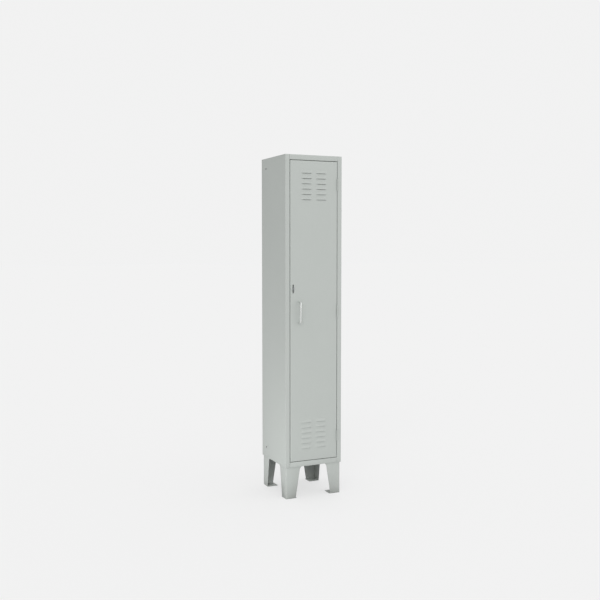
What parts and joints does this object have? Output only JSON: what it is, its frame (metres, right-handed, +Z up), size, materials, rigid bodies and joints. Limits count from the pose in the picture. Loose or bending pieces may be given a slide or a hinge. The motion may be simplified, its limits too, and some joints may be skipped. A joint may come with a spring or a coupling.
{
  "type": "steel clothes locker",
  "caption": "Tall narrow sheet-steel clothes locker on folded legs, with a louvred hinged door, bow handle, padlock eye, hat shelf and coat rail with sliding hooks.",
  "frame": {"origin": "on the floor, under the middle of the whole box, which takes in the handle that stands out in front", "axes": "+Z up, -Y the side that the door faces, +X to the hinge side of the door"},
  "size_m": [0.325, 0.355, 1.8],
  "materials": {
    "paint": "satin powder coat",
    "zinc": "bright zinc plating",
    "nickel": "polished nickel plating",
    "rubber": "matte",
    "magnet": "matte bonded ferrite",
    "moulded": "fine moulded texture"
  },
  "bodies": {
    "carcass": {"left_side_panel": "paint", "right_side_panel": "paint", "back_panel": "paint", "top_panel": "paint", "bottom_panel": "paint", "hat_shelf": "paint", "coat_rail": "zinc", "rail_bracket_left": "moulded", "rail_bracket_right": "moulded", "padlock_eye": "zinc", "door_bumper_top": "rubber", "door_bumper_bottom": "rubber", "door_magnet": "magnet", "leg_front_left": "paint", "leg_bolt_front_left": "zinc", "leg_nut_front_left": "zinc", "leg_front_right": "paint", "leg_bolt_front_right": "zinc", "leg_nut_front_right": "zinc", "leg_rear_left": "paint", "leg_bolt_rear_left": "zinc", "leg_nut_rear_left": "zinc", "leg_rear_right": "paint", "leg_bolt_rear_right": "zinc", "leg_nut_rear_right": "zinc", "hinge_frame_leaf_bottom": "paint", "hinge_pin_bottom": "zinc", "hinge_frame_leaf_middle": "paint", "hinge_pin_middle": "zinc", "hinge_frame_leaf_top": "paint", "hinge_pin_top": "zinc"},
    "door": {"door_pan": "paint", "door_stiffener": "paint", "door_handle": "nickel", "handle_screw_bottom": "zinc", "handle_screw_top": "zinc", "hinge_door_leaf_bottom": "paint", "hinge_door_leaf_middle": "paint", "hinge_door_leaf_top": "paint"},
    "hook_1": {"coat_hook_1": "moulded"},
    "hook_2": {"coat_hook_2": "moulded"},
    "hook_3": {"coat_hook_3": "moulded"}
  },
  "joints": [
    {"name": "door_hinge", "type": "hinge", "parent": "carcass", "child": "door", "pos_m": [0.1365, -0.1511, 0.984], "axis": [0, 0, 1], "range_deg": [0, 170]},
    {"name": "hook_1_slide", "type": "slide", "parent": "carcass", "child": "hook_1", "axis": [1, 0, 0], "range_m": [-0.06, 0.034]},
    {"name": "hook_2_slide", "type": "slide", "parent": "carcass", "child": "hook_2", "axis": [1, 0, 0], "range_m": [-0.034, 0.034]},
    {"name": "hook_3_slide", "type": "slide", "parent": "carcass", "child": "hook_3", "axis": [1, 0, 0], "range_m": [-0.034, 0.06]}
  ]
}
